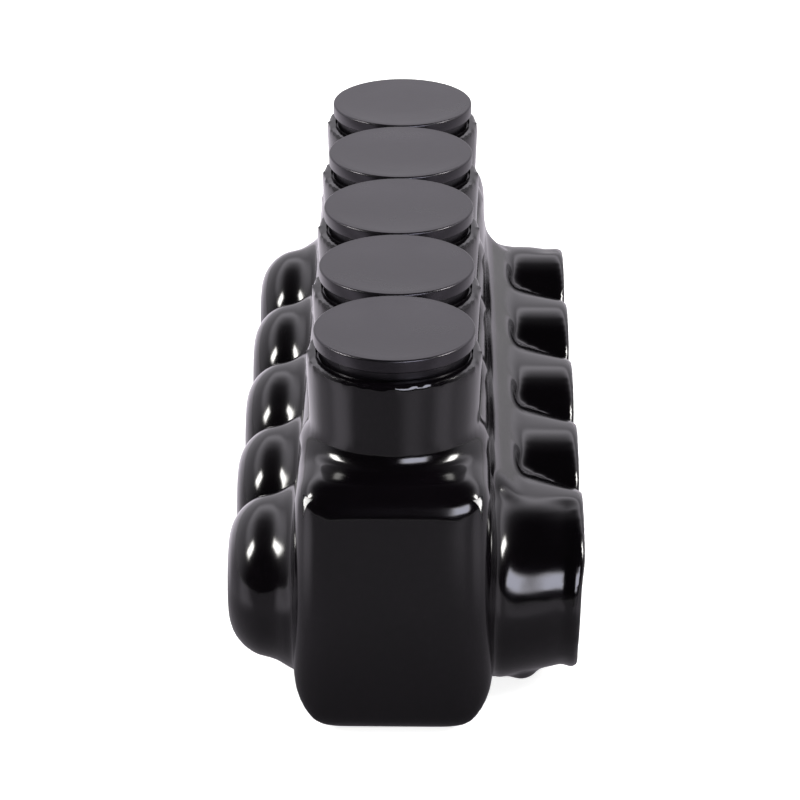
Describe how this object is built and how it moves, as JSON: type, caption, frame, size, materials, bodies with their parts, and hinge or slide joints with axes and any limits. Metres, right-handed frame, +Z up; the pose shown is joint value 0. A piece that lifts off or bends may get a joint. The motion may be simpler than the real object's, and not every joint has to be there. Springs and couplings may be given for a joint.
{
  "type": "insulated multi-tap connector",
  "caption": "Insulated multi-tap cable connector: a row of screw-clamp ports entered from one side, in a dipped black jacket with a screw tower and push-in plug over each.",
  "frame": {"origin": "middle of the flat underside, under the axis of the middle screw", "axes": "+Z up along the screws, +X out of the cable ports, +Y along the row"},
  "size_m": [0.0582, 0.1488, 0.0625],
  "materials": {
    "bar_aluminium": "extruded bar, drilled and plated, satin",
    "jacket_vinyl": "dipped flexible vinyl, glossy black, thicker at its foot and lips",
    "screw_aluminium": "threaded and plated, satin",
    "plug_vinyl": "moulded soft vinyl, matte dark grey"
  },
  "bodies": {
    "root": {"connector_block": "bar_aluminium", "insulating_jacket": "jacket_vinyl"},
    "set_screw_1": {"set_screw_1": "screw_aluminium"},
    "access_plug_1": {"access_plug_1": "plug_vinyl"},
    "set_screw_2": {"set_screw_2": "screw_aluminium"},
    "access_plug_2": {"access_plug_2": "plug_vinyl"},
    "set_screw_3": {"set_screw_3": "screw_aluminium"},
    "access_plug_3": {"access_plug_3": "plug_vinyl"},
    "set_screw_4": {"set_screw_4": "screw_aluminium"},
    "access_plug_4": {"access_plug_4": "plug_vinyl"},
    "set_screw_5": {"set_screw_5": "screw_aluminium"},
    "access_plug_5": {"access_plug_5": "plug_vinyl"}
  },
  "joints": [
    {"name": "set_screw_1_advance", "type": "slide", "parent": "root", "child": "set_screw_1", "axis": [0, 0, -1], "range_m": [0, 0.0145]},
    {"name": "access_plug_1_pull", "type": "slide", "parent": "root", "child": "access_plug_1", "axis": [0, 0, 1], "range_m": [0, 0.025]},
    {"name": "set_screw_2_advance", "type": "slide", "parent": "root", "child": "set_screw_2", "axis": [0, 0, -1], "range_m": [0, 0.0145]},
    {"name": "access_plug_2_pull", "type": "slide", "parent": "root", "child": "access_plug_2", "axis": [0, 0, 1], "range_m": [0, 0.025]},
    {"name": "set_screw_3_advance", "type": "slide", "parent": "root", "child": "set_screw_3", "axis": [0, 0, -1], "range_m": [0, 0.0145]},
    {"name": "access_plug_3_pull", "type": "slide", "parent": "root", "child": "access_plug_3", "axis": [0, 0, 1], "range_m": [0, 0.025]},
    {"name": "set_screw_4_advance", "type": "slide", "parent": "root", "child": "set_screw_4", "axis": [0, 0, -1], "range_m": [0, 0.0145]},
    {"name": "access_plug_4_pull", "type": "slide", "parent": "root", "child": "access_plug_4", "axis": [0, 0, 1], "range_m": [0, 0.025]},
    {"name": "set_screw_5_advance", "type": "slide", "parent": "root", "child": "set_screw_5", "axis": [0, 0, -1], "range_m": [0, 0.0145]},
    {"name": "access_plug_5_pull", "type": "slide", "parent": "root", "child": "access_plug_5", "axis": [0, 0, 1], "range_m": [0, 0.025]}
  ]
}
